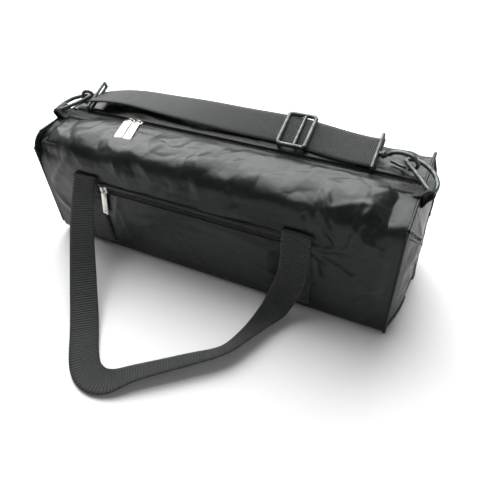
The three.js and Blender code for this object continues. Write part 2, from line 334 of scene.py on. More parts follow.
def smooth_path(points, count, closed=False):
    """Points evenly spread along a centripetal-like smooth curve through given points."""
    p = np.asarray(points, float)
    if closed:
        p = np.vstack([p[-1], p, p[0], p[1]])
    else:
        p = np.vstack([2 * p[0] - p[1], p, 2 * p[-1] - p[-2]])
    dense = []
    for i in range(1, len(p) - 2):
        a, b, c, d = p[i - 1 : i + 3]
        for t in np.linspace(0, 1, 24, endpoint=False):
            dense.append(
                0.5 * (2 * b + (c - a) * t + (2 * a - 5 * b + 4 * c - d) * t * t
                       + (3 * b - a - 3 * c + d) * t**3)
            )
    dense.append(p[-2])
    dense = np.array(dense)
    along = np.concatenate([[0], np.cumsum(np.linalg.norm(np.diff(dense[:, :3], axis=0), axis=1))])
    at = np.linspace(0, along[-1], count, endpoint=not closed)
    return np.stack([np.interp(at, along, dense[:, k]) for k in range(p.shape[1])], 1), along[-1]


def grid_faces(rows, columns):
    index = np.arange(rows * columns).reshape(rows, columns)
    quads = np.stack([index[:-1, :-1], index[1:, :-1], index[1:, 1:], index[:-1, 1:]], -1)
    return quads.reshape(-1, 4)


def thicken(piece, thickness_mm, offset=-1.0):
    solid = piece.modifiers.new("thickness", "SOLIDIFY")
    solid.thickness = thickness_mm * MM
    solid.offset = offset
    return piece


def step(low, high, value):
    t = np.clip((value - low) / (high - low), 0, 1)
    return t * t * (3 - 2 * t)


def vertices_of(piece):
    co = np.zeros(len(piece.data.vertices) * 3)
    piece.data.vertices.foreach_get("co", co)
    return co.reshape(-1, 3) / MM


def sweep(name, points, radius, look, sides=12, count=60, closed=False, flatten=1.0):
    """A round wire along a smooth path, with rounded ends when open."""
    path, _ = smooth_path(points, count, closed)
    if closed:
        tangent = np.roll(path, -1, 0) - np.roll(path, 1, 0)
    else:
        tangent = np.gradient(path, axis=0)
    tangent /= np.linalg.norm(tangent, axis=1)[:, None]
    side = np.cross(tangent[0], [0, 0, 1.0])
    if np.linalg.norm(side) < 0.1:
        side = np.cross(tangent[0], [0, 1.0, 0])
    vertices, rings = [], []
    for i, (at, along) in enumerate(zip(path, tangent)):
        side = side - along * (side @ along)
        side /= np.linalg.norm(side)
        lift = np.cross(along, side)
        fraction = i / (len(path) - 1)
        r = radius(fraction) if callable(radius) else radius
        ring = []
        for k in range(sides):
            a = 2 * math.pi * k / sides
            ring.append(len(vertices))
            vertices.append(at + side * math.cos(a) * r + lift * math.sin(a) * r * flatten)
        rings.append(ring)
    faces = []
    last = len(rings) if closed else len(rings) - 1
    for i in range(last):
        a, b = rings[i], rings[(i + 1) % len(rings)]
        for k in range(sides):
            faces.append([a[k], a[(k + 1) % sides], b[(k + 1) % sides], b[k]])
    if not closed:
        ends = ((rings[0], path[0], tangent[0], -1), (rings[-1], path[-1], tangent[-1], 1))
        for ring, at, along, sign in ends:
            tip = len(vertices)
            r = radius(0 if sign < 0 else 1) if callable(radius) else radius
            vertices.append(at + along * sign * r * 0.6)
            for k in range(sides):
                pair = [ring[k], ring[(k + 1) % sides]]
                faces.append([*(pair if sign > 0 else pair[::-1]), tip])
    return make(name, vertices, faces, look)


def join(name, pieces):
    """Several meshes become one piece."""
    bpy.ops.object.select_all(action="DESELECT")
    for piece in pieces:
        piece.select_set(True)
    bpy.context.view_layer.objects.active = pieces[0]
    bpy.ops.object.join()
    pieces[0].name = name
    return pieces[0]


def stitches(name, points, normal, pitch=3.4, length=2.3, radius=0.36):
    """A row of thread stitches along a polyline of millimetre points."""
    p = np.asarray(points, float)
    along = np.concatenate([[0], np.cumsum(np.linalg.norm(np.diff(p, axis=0), axis=1))])
    count = max(2, int(along[-1] / pitch))
    up = np.asarray(normal, float)
    vertices, faces = [], []
    for i in range(count):
        s = (i + 0.5) * along[-1] / count
        a, b = [np.array([np.interp(s + d, along, p[:, k]) for k in range(3)])
                for d in (-length / 2, length / 2)]
        direction = (b - a) / max(np.linalg.norm(b - a), 1e-6)
        side = np.cross(up, direction)
        side /= max(np.linalg.norm(side), 1e-6)
        start = len(vertices)
        for t, r in ((0, 0.35), (0.2, 1), (0.8, 1), (1, 0.35)):
            centre = a + (b - a) * t + up * radius * (0.2 if t in (0, 1) else 0.7)
            for k in range(6):
                angle = math.pi * k / 3
                offset = side * math.cos(angle) + up * math.sin(angle)
                vertices.append(centre + offset * radius * r)
        for j in range(3):
            for k in range(6):
                n = (k + 1) % 6
                here = start + j * 6
                faces.append([here + k, here + n, here + 6 + n, here + 6 + k])
        faces.append([start + k for k in range(5, -1, -1)])
        faces.append([start + 18 + k for k in range(6)])
    return make(name, vertices, faces, THREAD)


# ------------------------------------------------------------------ folds
def folds(x, v, creases):
    """Height in mm of creases, each (x, v, angle_deg, length, width, height)."""
    height = np.zeros_like(x)
    for cx, cv, angle, length, width, tall in creases:
        c, s = math.cos(math.radians(angle)), math.sin(math.radians(angle))
        along = (x - cx) * c + (v - cv) * s
        away = -(x - cx) * s + (v - cv) * c
        away = away + 0.12 * length * ((along / length) ** 2 - 0.1)
        ridge = np.exp(-np.abs(away / width) ** 1.5)
        height += tall * ridge * np.exp(-((along / (length / 2)) ** 4))
    return height


def scattered(rng, count, x_range, v_range, length, width, height, angles=(0, 180)):
    out = []
    for _ in range(count):
        out.append((
            rng.uniform(*x_range), rng.uniform(*v_range), rng.uniform(*angles),
            rng.uniform(*length), rng.uniform(*width), rng.uniform(*height) * rng.choice([-1, 1, 1]),
        ))
    return out


def facets(rng, x, v, spacing_x, spacing_v, tall):
    """Height in mm of crumpled facets: flat triangles between random points, with sharp edges."""
    low_x, high_x, low_v, high_v = x.min() - 60, x.max() + 60, v.min() - 60, v.max() + 60
    points = []
    for cx in np.arange(low_x, high_x, spacing_x):
        for cv in np.arange(low_v, high_v, spacing_v):
            jitter = rng.uniform(-0.42, 0.42, 2)
            points.append((cx + jitter[0] * spacing_x, cv + jitter[1] * spacing_v))
    heights = rng.uniform(-1, 1, len(points))
    flat, _, triangles, *_ = delaunay_2d_cdt([Vector(p) for p in points], [], [], 0, 1e-6)
    tree = BVHTree.FromPolygons([(p.x, p.y, heights[i] * tall) for i, p in enumerate(flat)], triangles)
    out = np.zeros(x.size)
    for i, (px, pv) in enumerate(zip(x.ravel(), v.ravel())):
        hit = tree.ray_cast(Vector((px, pv, 100)), Vector((0, 0, -1)))
        out[i] = hit[0].z if hit[0] else 0
    return out.reshape(x.shape)


# ------------------------------------------------------------------ the cloth of the case
STATIONS = 120


def profile(side, free_edge):
    """Outline in y and z from under the bottom edge, up the wall, over the shoulder, to the zip."""
    edge = side * free_edge
    middle = [
        (56, 0.9), (63, 1.0), (66.8, 3.5), (68.5, 12), (70.5, 45), (71.2, 80), (70.4, 115),
        (68.6, 132), (65.8, 141.5), (60.5, 147.6), (52, 151.0), (38, 152.4), (20, 151.0), (edge, 147.8),
    ]
    sharp = [
        (56, 0.9), (62, 1.0), (66.0, 3.0), (67.4, 12), (67.6, 45), (67.6, 80), (67.6, 115),
        (67.2, 130), (65.0, 139), (60.0, 144.6), (52, 146.2), (38, 146.6), (20, 146.7), (edge, 146.8),
    ]
    soft = [
        (54, 1.6), (59, 2.6), (63.0, 6.0), (65.6, 14), (66.6, 45), (66.6, 80), (65.6, 108),
        (62.8, 122), (58.2, 131.5), (51.0, 138), (43, 141.6), (32, 143.6), (18, 144.8), (edge, 145.4),
    ]
    outlines = [[(side * y, z) for y, z in points] for points in (middle, sharp, soft)]
    return [smooth_path(outline, STATIONS)[0] for outline in outlines]


def wall_sheet(name, side, free_edge, creases, seed):
    middle, sharp, soft = profile(side, free_edge)
    columns = 300
    x = np.linspace(-CLOTH_LENGTH / 2, CLOTH_LENGTH / 2, columns)
    right = step(184, 217, x)[:, None]
    left = step(160, 217, -x)[:, None]
    plain = 1 - right - left
    y = middle[None, :, 0] * plain + sharp[None, :, 0] * right + soft[None, :, 0] * left
    z = middle[None, :, 1] * plain + sharp[None, :, 1] * right + soft[None, :, 1] * left
    grid_x = np.repeat(x[:, None], STATIONS, 1)
    arc = np.concatenate([[0], np.cumsum(np.linalg.norm(np.diff(middle, axis=0), axis=1))])
    grid_v = np.repeat(arc[None, :], columns, 0)
    tangent = np.gradient(np.stack([y, z], -1), axis=1)
    tangent /= np.linalg.norm(tangent, axis=-1)[..., None]
    normal = np.stack([-tangent[..., 1], tangent[..., 0]], -1) * (1 if side < 0 else -1)
    height = folds(grid_x, grid_v, creases) + crumple(grid_x, grid_v, seed)
    edge = (1 - step(200, 216, np.abs(grid_x))) * step(10, 30, grid_v)
    edge = edge * (1 - step(arc[-1] - 14, arc[-1] - 2, grid_v))
    height = height * edge
    y = y + normal[..., 0] * height
    z = z + normal[..., 1] * height
    flared = grid_x - LEFT_FLARE * step(165, 217, -grid_x)
    vertices = np.stack([flared, y, z], -1).reshape(-1, 3)
    faces = grid_faces(columns, STATIONS)
    if side > 0:
        faces = faces[:, ::-1]
    uvs = np.stack([grid_x, grid_v], -1).reshape(-1, 2) * MM
    piece = make(name, vertices, faces[:, ::-1], NYLON, uvs=uvs)
    thicken(piece, 1.3)
    return piece, arc


def crumple(x, v, seed):
    """Facets that are strongest over the shoulder and toward the right end."""
    rng = np.random.default_rng(seed)
    shoulder = np.exp(-(((v - 158) / 24) ** 2))
    top = step(150, 175, v)
    right = step(90, 190, x) * step(20, 70, v)
    large = facets(rng, x, v, 30, 36, 1.0)
    small = facets(rng, x, v, 13, 17, 1.0)
    return large * (0.6 + 2.6 * shoulder + 1.3 * top + 1.9 * right) + small * (
        0.2 + 1.7 * shoulder + 0.8 * top + 0.9 * right)


def flap_weight(points, side):
    """How far a point follows its half of the top: none on the walls and at the sewn ends."""
    inward = step(-1, 16, 68 - side * points[:, 1])
    lifted = step(138, 148, points[:, 2])
    return inward * lifted * end_weight(points, side)


def end_weight(points, side):
    """Full between the hinged stretch's ends, and none where the top is sewn to the case's ends."""
    low, high = (178, 214) if side < 0 else (136, 176)
    return 1 - step(low, high, np.abs(points[:, 0]))


def build_walls():
    rng = np.random.default_rng(7)
    shoulder = 150
    front_creases = scattered(rng, 18, (-200, 200), (20, 145), (24, 70), (3, 7), (0.3, 0.8), (-50, 50))
    front_creases += scattered(rng, 12, (120, 205), (60, 190), (20, 60), (2, 4), (0.8, 1.6))
    front_creases += [
        (175, shoulder - 6, 75, 46, 3, 2.2), (150, shoulder - 14, 120, 50, 3, 2.0),
        (165, shoulder + 14, 20, 60, 3, 1.8), (140, 110, 14, 90, 5, 2.4),
        (160, 92, -24, 90, 4, 2.0), (178, 60, 35, 70, 4, 2.4), (200, 40, 60, 40, 3, 2.0),
        (-190, 120, 50, 70, 5, 2.4), (-196, 60, -50, 80, 5, 2.2), (-100, 150, 85, 30, 4, 1.6),
        (60, 128, 5, 120, 6, 1.2), (-40, 134, -4, 120, 6, 1.0), (-60, 12, 2, 200, 6, -1.2),
    ]
    front, arc = wall_sheet("front_cloth", -1, 0.6, front_creases, 31)
    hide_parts("front_panel", "front_flap", "top_front_end_left", "top_front_end_right")
    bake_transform(front)
    flap_weight(vertices_of(front), -1)

    back_creases = scattered(rng, 40, (-200, 200), (20, 145), (26, 80), (3, 7), (0.5, 1.5))
    back, arc = wall_sheet("back_cloth", 1, 9.4, back_creases, 47)
    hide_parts("back_panel", "rear_flap", "top_rear_end_left", "top_rear_end_right")
    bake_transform(back)
    flap_weight(vertices_of(back), 1)


def rounded_rectangle(half_w, low, high, radius, per_corner=7):
    points = []
    corners = ((half_w - radius, low + radius, -90), (half_w - radius, high - radius, 0),
               (-half_w + radius, high - radius, 90), (-half_w + radius, low + radius, 180))
    for cy, cz, start in corners:
        for k in range(per_corner):
            a = math.radians(start + 90 * k / (per_corner - 1))
            points.append((cy + radius * math.cos(a), cz + radius * math.sin(a)))
    return points


def build_ends():
    rng = np.random.default_rng(21)
    for name, side, bulge, flare, outline in (
        ("left", -1, 6.5, LEFT_FLARE, (65.6, 3.6, 144.6, 22)), ("right", 1, 12.0, 0, (67.2, 3.0, 146.0, 9)),
    ):
        rows, rings = 156, 44
        half, low, high, radius = outline
        corners = rounded_rectangle(half, low, high, radius)
        rim, _ = smooth_path(corners, rows, closed=True)
        centre = np.array([0, 74.5])
        creases = scattered(rng, 16, (-55, 55), (15, 135), (18, 60), (2.5, 6), (0.3, 1.0))
        if side < 0:
            creases += [(-30, 100, -58, 90, 6, 3.2), (-20, 60, -50, 90, 6, 2.6),
                        (-38, 32, 20, 50, 7, 3.0), (20, 80, 60, 80, 6, 2.0)]
        else:
            creases += [(-40, 112, 70, 50, 5, 1.8), (30, 40, 30, 80, 8, 1.6), (-20, 50, -30, 70, 7, 1.5)]
        seed = 60 + side
        vertices, uvs = [], []
        for ring in range(rings):
            t = ring / (rings - 1)
            at = centre + (rim - centre) * (1 - t * 0.985)
            y, z = at[:, 0], at[:, 1]
            dome = (1 - (1 - t) ** 3.8) * bulge
            crumpled = facets(np.random.default_rng(seed), y, z, 34, 34, 0.9)
            creased = (folds(y, z, creases) + crumpled) * step(0.04, 0.3, np.full_like(y, t))
            x = 217.6 + flare + dome + creased
            vertices.append(np.stack([side * x, y, z], 1))
            uvs.append(np.stack([y, z], 1) * MM)
        vertices = np.concatenate(vertices)
        faces = []
        for ring in range(rings - 1):
            for k in range(rows):
                n = (k + 1) % rows
                a, b = ring * rows, (ring + 1) * rows
                faces.append([a + k, a + n, b + n, b + k])
        faces.append([(rings - 1) * rows + k for k in range(rows)])
        if side < 0:
            faces = [f[::-1] for f in faces]
        piece = make(f"{name}_end_cloth", vertices, faces, NYLON, uvs=np.concatenate(uvs))
        thicken(piece, 1.3)
        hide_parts(f"{name}_end_panel")
        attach(piece, CASE)
        corners = rounded_rectangle(half + 0.9, low - 1.0, high + 0.9, radius, 9)
        edge = [(side * (218.6 + flare), y, z) for y, z in corners]
        piping = sweep(f"{name}_end_seam_piping", edge, 1.7, NYLON, 10, 260, closed=True)
        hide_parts(f"{name}_end_piping")
        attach(piping, CASE)


def build_bottom():
    columns, rows = 90, 30
    x = np.linspace(-217, 217, columns)
    y = np.linspace(-60, 60, rows)
    gx, gy = np.meshgrid(x, y, indexing="ij")
    gz = 0.55 + 0.0 * gx
    piece = make("bottom_cloth", np.stack([gx, gy, gz], -1).reshape(-1, 3),
                 grid_faces(columns, rows), NYLON)
    thicken(piece, 0.9, 1.0)
    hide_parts("bottom_panel")
    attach(piece, CASE)
    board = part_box("bottom_board")
    insert = pad_slab("bottom_insert", board, 2, BOARD)
    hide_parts("bottom_board")
    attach(insert, CASE)


def pad_slab(name, corners, thin_axis, look, quilt=0.0):
    """A soft-edged slab that fills a box, quilted in squares when quilt is given."""
    low, high = [np.array(c) / MM for c in corners]
    wide = [k for k in range(3) if k != thin_axis]
    half = (high - low) / 2
    centre = (high + low) / 2
    counts = [max(12, int((high - low)[k] / 5)) for k in wide]
    u = np.linspace(-1, 1, counts[0])
    v = np.linspace(-1, 1, counts[1])
    gu, gv = np.meshgrid(u, v, indexing="ij")
    a, b = gu * half[wide[0]], gv * half[wide[1]]
    edge = np.minimum(half[wide[0]] - np.abs(a), half[wide[1]] - np.abs(b))
    soft = np.sqrt(np.clip(edge / 3, 0, 1) * (2 - np.clip(edge / 3, 0, 1)))
    depth = half[thin_axis] * (0.25 + 0.75 * soft)
    if quilt:
        seam = np.minimum(np.abs(np.sin(math.pi * a / quilt)), np.abs(np.sin(math.pi * b / quilt)))
        depth = depth * (0.45 + 0.55 * np.clip(seam * 4, 0, 1) ** 0.5)
    vertices = []
    for sign in (1, -1):
        at = np.zeros((*gu.shape, 3))
        at[..., wide[0]], at[..., wide[1]] = a, b
        at[..., thin_axis] = sign * depth
        vertices.append(at.reshape(-1, 3) + centre)
    top = grid_faces(*gu.shape)
    count = gu.size
    faces = [list(f) for f in top] + [list(f[::-1] + count) for f in top]
    index = np.arange(count).reshape(gu.shape)
    rim = [*index[:-1, 0], *index[-1, :-1], *index[:0:-1, -1], *index[0, :0:-1]]
    for i, j in zip(rim, rim[1:] + rim[:1]):
        faces.append([i, j, j + count, i + count])
    piece = make(name, np.concatenate(vertices), faces, look)
    fix_normals(piece)
    return piece


def fix_normals(piece):
    mesh = bmesh.new()
    mesh.from_mesh(piece.data)
    bmesh.ops.recalc_face_normals(mesh, faces=mesh.faces)
    mesh.to_mesh(piece.data)
    mesh.free()


def build_padding():
    for node, axis in (("front_pad", 1), ("back_pad", 1), ("left_end_pad", 0), ("right_end_pad", 0)):
        piece = pad_slab(f"{node}_lining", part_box(node), axis, LINING, quilt=45)
        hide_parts(node)
        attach(piece, CASE)


# ------------------------------------------------------------------ webbing
def webbing(name, stations, width, count, look=WEBBING):
    """Webbing whose middle runs through stations of (x, y, z, across x, y, z)."""
    path, length = smooth_path(stations, count)
    at = path[:, :3]
    across = path[:, 3:]
    tangent = np.gradient(at, axis=0)
    tangent /= np.linalg.norm(tangent, axis=1)[:, None]
    across = across - tangent * (across * tangent).sum(1)[:, None]
    across /= np.linalg.norm(across, axis=1)[:, None]
    normal = np.cross(tangent, across)
    half, thick = width / 2, WEB_THICK / 2
    section = []
    steps = np.linspace(-1, 1, 11)
    for s in steps:
        section.append((s * (half - 0.4), thick * (1 - 0.25 * abs(s) ** 6)))
    section.append((half, 0))
    for s in steps[::-1]:
        section.append((s * (half - 0.4), -thick * (1 - 0.25 * abs(s) ** 6)))
    section.append((-half, 0))
    section = np.array(section)
    vertices = (at[:, None, :] + across[:, None, :] * section[None, :, :1]
                + normal[:, None, :] * section[None, :, 1:])
    n = len(section)
    faces = []
    for i in range(count - 1):
        for k in range(n):
            j = (k + 1) % n
            faces.append([i * n + k, i * n + j, (i + 1) * n + j, (i + 1) * n + k])
    faces.append(list(range(n))[::-1])
    faces.append([(count - 1) * n + k for k in range(n)])
    along = np.linspace(0, length, count)
    uvs = np.stack([np.repeat(along, n), np.tile(section[:, 0], count)], 1) * MM
    piece = make(name, vertices.reshape(-1, 3), faces, look, uvs=uvs)
    fix_normals(piece)
    return piece, length


LYING = WEB_THICK / 2 + 0.3
FRONT_LOOP = [
    (HANDLE_X[0], -74.5, 116, 1, 0, 0), (HANDLE_X[0] + 1, -84, 100, 1, 0, 0),
    (HANDLE_X[0] + 12, -112, 72, 1, 0.1, 0), (HANDLE_X[0] + 32, -150, 34, 1, 0.4, 0),
    (HANDLE_X[0] + 60, -192, 9, 1, 0.75, 0), (-60, -229, LYING + 1, 0.8, 0.8, 0),
    (-40, -242, LYING + 1, 0.43, 0.9, 0), (-20, -240, LYING + 2, -0.3, 0.95, -0.12),
    (4, -220, LYING + 6, -0.62, 0.75, -0.5), (44, -188, LYING + 8, -0.62, 0.75, -0.65),
    (74, -162, LYING + 9, -0.7, 0.65, -0.8), (88, -132, LYING + 9, -0.9, 0.4, -0.7),
    (96, -108, LYING + 10, -1, 0.25, -0.4), (106, -90, 26, -1, 0.05, -0.1),
    (HANDLE_X[1] - 2, -80, 62, -1, 0, 0), (HANDLE_X[1], -74.5, 116, -1, 0, 0),
]
BACK_LOOP = [
    (HANDLE_X[1], 74.5, 116, -1, 0, 0), (HANDLE_X[1], 80, 60, -1, 0, 0),
    (HANDLE_X[1] - 4, 92, 20, -1, 0, 0), (HANDLE_X[1] - 14, 122, 4, -1, 0.2, 0),
    (HANDLE_X[1] - 40, 153, LYING, -1, -0.7, 0), (40, 172, LYING, -0.25, -1, 0),
    (-15, 177, LYING, 0, -1, 0), (-70, 172, LYING, 0.25, -1, 0),
    (HANDLE_X[0] + 40, 153, LYING, 1, -0.7, 0), (HANDLE_X[0] + 14, 122, 4, 1, 0.2, 0),
    (HANDLE_X[0] + 4, 92, 20, 1, 0, 0), (HANDLE_X[0], 80, 60, 1, 0, 0),
    (HANDLE_X[0], 74.5, 116, 1, 0, 0),
]


def build_handles():
    for name, side, loop in (("front", -1, FRONT_LOOP), ("back", 1, BACK_LOOP)):
        handle, length = webbing(f"{name}_handle_web", loop, HANDLE_WEB, 420)
        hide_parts(f"{name}_handle")
        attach(handle, f"{name}_handle")
        for end, x in zip(("left", "right"), HANDLE_X):
            build_anchor(name, end, side, x)


def build_anchor(name, end, side, x):
    face = side * 72.0
    line = [(x, face - side * 1.0, ANCHOR_LOW), (x, face, 40), (x, face + side * 0.6, 80),
            (x, face, 105), (x, face + side * 0.2, ANCHOR_TOP - 1.5)]
    stations = [(*p, 1, 0, 0) for p in line]
    piece, _ = webbing(f"{name}_{end}_anchor_web", stations, HANDLE_WEB, 90)
    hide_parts(f"{name}_anchor_{end}")
    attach(piece, CASE)
    half = HANDLE_WEB / 2 - 2.5
    out = face + side * (WEB_THICK / 2 + 0.5)
    top, low = ANCHOR_TOP - 5, ANCHOR_TOP - 34
    rows = [
        [(x - half, out, ANCHOR_LOW + 3), (x - half, out, top)],
        [(x + half, out, ANCHOR_LOW + 3), (x + half, out, top)],
        [(x - half, out, top), (x + half, out, top)],
        [(x - half, out, low), (x + half, out, low)],
        [(x - half, out, low), (x + half, out, top)],
        [(x - half, out, top), (x + half, out, low)],
    ]
    rows = [stitches(f"row{i}", row, (0, side, 0), 3.0, 2.1, 0.4) for i, row in enumerate(rows)]
    box = join(f"{name}_{end}_anchor_stitching", rows)
    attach(box, CASE)


STRAP_ROUTE = [
    (-196, 26, 159.5, -8), (-172, 32, 161.5, -4), (-140, 37, 162, 2), (-90, 36, 162, 10),
    (-40, 34, 162.5, 18), (10, 33, 162, 22), (50, 33, 162, 24), (76, 33, 161.6, 24), (100, 31, 160.2, 24),
    (130, 28, 159, 22), (150, 26.5, 159, 20), (169, 26, 159.4, 20),
]


def strap_points(lift, low, high):
    """The strap's route, each station turned about X by its own tilt."""
    out = []
    for x, y, z, tilt in STRAP_ROUTE:
        if low <= x <= high:
            tilt = math.radians(tilt)
            out.append((x, y, z + lift, 0, math.cos(tilt), math.sin(tilt)))
    return out


def build_strap():
    main, length = webbing("shoulder_strap", strap_points(0, -197, 170), STRAP_WEB, 300, STRAP_WEBBING)
    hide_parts("strap_main", "strap_end_left", "strap_end_right")
    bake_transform(main)
    1 - step(136, 164, np.abs(vertices_of(main)[:, 0]))
    route = strap_points(-2.9, 76, 150)
    layer, length = webbing("shoulder_strap_return", route, STRAP_WEB, 70, STRAP_WEBBING)
    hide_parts("strap_return")
    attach(layer, "rear_flap")


# ------------------------------------------------------------------ zips
def teeth(name, x0, x1, y, z, pitch=1.5, up=(0, 0, 1), across=(0, 1, 0)):
    """Interlocked coil turns: small beads on both sides of the middle."""
    up, across = np.array(up, float), np.array(across, float)
    origin = np.array([0, y, z], float)
    vertices, faces = [], []
    count = int((x1 - x0) / pitch)
    for i in range(count):
        for s in (-1, 1):
            x = x0 + (i + (0.5 if s > 0 else 0)) * pitch
            start = len(vertices)
            for dx, da, dz in ((-1, -1, 0), (1, -1, 0), (1, 1, 0), (-1, 1, 0),
                               (-0.6, -0.8, 1), (0.6, -0.8, 1), (0.6, 0.7, 1), (-0.6, 0.7, 1)):
                at = origin + across * s * (1.35 + da * 1.25) + up * dz * 1.1
                at = at + np.array([x + dx * 0.5, 0, 0])
                vertices.append(at)
            quad = [(0, 1, 5, 4), (1, 2, 6, 5), (2, 3, 7, 6), (3, 0, 4, 7), (4, 5, 6, 7), (3, 2, 1, 0)]
            faces += [[start + k for k in f] for f in quad]
    piece = make(name, vertices, faces, COIL)
    fix_normals(piece)
    return piece


def tape(name, x0, x1, section, look=None):
    """A band that runs along X with the outline given in y and z."""
    columns = 220
    outline, _ = smooth_path(section, 40)
    x = np.linspace(x0, x1, columns)
    vertices = np.zeros((columns, len(outline), 3))
    vertices[..., 0] = x[:, None]
    vertices[..., 1] = outline[None, :, 0]
    vertices[..., 2] = outline[None, :, 1]
    vertices[..., 2] += 0.25 * np.sin(x / 17)[:, None] * (1 if look is None else 0)
    piece = make(name, vertices.reshape(-1, 3), grid_faces(columns, len(outline)), look or TAPE)
    thicken(piece, 0.8, 0)
    return piece


def blend_with(piece, side):
    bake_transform(piece)
    end_weight(vertices_of(piece), side)


def build_top_zip():
    top = 147.4
    front = tape("top_zip_front_tape", -216, 216, [
        (-14.5, top - 0.6), (-13.0, top + 1.0), (-11.4, top + 1.9), (-9.5, top + 1.2), (-7.6, top + 1.0),
        (-6.0, top + 1.8), (-4.2, top + 1.1), (-2.0, top + 0.9), (0.6, top + 1.5), (2.0, top + 1.0),
        (2.8, top - 0.4),
    ])
    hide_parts("zip_front_tape")
    blend_with(front, -1)
    rear = tape("top_zip_rear_tape", -216, 216, [
        (9.0, top - 0.4), (9.8, top + 1.0), (11.4, top + 1.6), (13.0, top + 0.9), (15.0, top + 1.4),
        (16.8, top + 0.6), (18.0, top - 0.2),
    ])
    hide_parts("zip_rear_tape")
    blend_with(rear, 1)
    coil = teeth("top_zip_coil", -215, 215, ZIP_Y, top - 0.6)
    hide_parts("zip_chain")
    blend_with(coil, -1)
    rows = [stitches(f"row{y}", [(-214, y, top + lift), (214, y, top + lift)], (0, 0, 1), 3.2, 2.2, 0.34)
            for y, lift in ((-9.5, 1.4), (-4.2, 1.3))]
    seam = join("top_zip_front_stitching", rows)
    blend_with(seam, -1)
    seam = stitches("top_zip_rear_stitching", [(-214, 13, top + 1.2), (214, 13, top + 1.2)], (0, 0, 1),
                    3.2, 2.2, 0.34)
    blend_with(seam, 1)


def slider_body(name):
    """The flat shield of a zip slider, in its own frame."""
    mesh = bmesh.new()
    outline = [(-5, -2.6), (-4.2, -4.2), (-1.5, -4.9), (2.2, -3.9), (5.0, -2.9),
               (5.0, 2.9), (2.2, 3.9), (-1.5, 4.9), (-4.2, 4.2), (-5, 2.6)]
    low = [mesh.verts.new((a, b, 0)) for a, b in outline]
    high = [mesh.verts.new((a * 0.94, b * 0.94, 1.3)) for a, b in outline]
    count = len(outline)
    mesh.faces.new(low[::-1])
    mesh.faces.new(high)
    for k in range(count):
        n = (k + 1) % count
        mesh.faces.new((low[k], low[n], high[n], high[k]))
    data = bpy.data.meshes.new(name)
    mesh.to_mesh(data)
    mesh.free()
    points = np.array([v.co for v in data.vertices])
    return data, points


def oriented(points, origin, axes):
    """Points in a local frame moved to origin, with the three local axes given."""
    basis = np.array(axes, float)
    return np.asarray(points, float) @ basis + np.asarray(origin, float)


def build_slider(name, node, body, origin, axes, arch):
    """axes are the slider's length, width and outward directions."""
    data, points = slider_body(name)
    faces = [list(p.vertices) for p in data.polygons]
    base = make(name, oriented(points, origin, axes), faces, NICKEL, False)
    fix_normals(base)
    bridge = sweep("bridge", oriented(arch, origin, axes), 0.85, NICKEL, 10, 24, flatten=1.5)
    piece = join(name, [base, bridge])
    soften(piece, 0.35)
    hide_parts(node)
    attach(piece, body)


def soften(piece, width_mm, segments=3):
    bevel = piece.modifiers.new("edges", "BEVEL")
    bevel.width = width_mm * MM
    bevel.segments = segments
    bevel.limit_method = "ANGLE"
    bevel.harden_normals = False
    for polygon in piece.data.polygons:
        polygon.use_smooth = True
    return piece


def pull_plate(name, node, body, origin, axes, width, length, thick):
    """A flat pull with a hole near its free end and a narrow neck at the slider."""
    outline = [(-width * 0.28, 2.0), (width * 0.28, 2.0), (width * 0.32, 0.2), (width / 2, -1.4)]
    for k in range(5):
        a = math.radians(-90 * k / 4)
        outline.append((width / 2 - 1 + math.cos(a), -length + 1 + math.sin(a)))
    outline += [(-px, py) for px, py in outline[::-1][:5]]
    outline += [(-width / 2, -1.4), (-width * 0.32, 0.2)]
    hole_at, hole = -length + 5.0, (2.3, 1.1)
    count = len(outline)
    centre = (0, hole_at)
    ring = []
    for px, py in outline:
        a = math.atan2(py - centre[1], px - centre[0])
        ring.append((centre[0] + hole[0] * math.cos(a), centre[1] + hole[1] * math.sin(a)))
    vertices, faces = [], []
    for z in (0, thick):
        vertices += [(px, py, z) for px, py in outline] + [(px, py, z) for px, py in ring]
    layer = 2 * count
    for k in range(count):
        n = (k + 1) % count
        faces.append([k, n, count + n, count + k])
        faces.append([layer + n, layer + k, layer + count + k, layer + count + n])
        faces.append([n, k, layer + k, layer + n])
        faces.append([count + k, count + n, layer + count + n, layer + count + k])
    piece = make(name, oriented(vertices, origin, axes), faces, NICKEL, False)
    fix_normals(piece)
    soften(piece, 0.3, 2)
    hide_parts(node)
    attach(piece, body)


def build_top_sliders():
    yaw = math.radians(17)
    for side, x in (("left", -129.0), ("right", -117.0)):
        sign = -1 if side == "left" else 1
        origin = (x, ZIP_Y - 0.4, 148.4)
        axes = [(sign, 0, 0), (0, 1, 0), (0, 0, 1)]
        arch = [(-3.0, 0, 1.0), (-2.2, 0, 2.9), (1.5, 0, 2.9), (2.6, 0, 1.0)]
        build_slider(f"top_slider_{side}", f"zip_slider_{side}", f"zip_slider_{side}", origin, axes, arch)
        right = (math.cos(yaw), math.sin(yaw), 0)
        down = (-math.sin(yaw), math.cos(yaw), 0)
        pull_plate(f"top_pull_{side}", f"zip_pull_{side}", f"zip_pull_{side}", (x, -0.2, 151.0),
                   [right, down, (0, 0, 1)], 10.2, 37.5, 1.3)


# ------------------------------------------------------------------ front pocket
POCKET_X = (-131.0, 101.0)
POCKET_ZIP_Z = 101.0


def wall_y(z):
    """The front wall's y at a height, at the middle of the case."""
    middle = profile(-1, 0.6)[0]
    rising = middle[:70]
    return float(np.interp(z, rising[:, 1], rising[:, 0]))


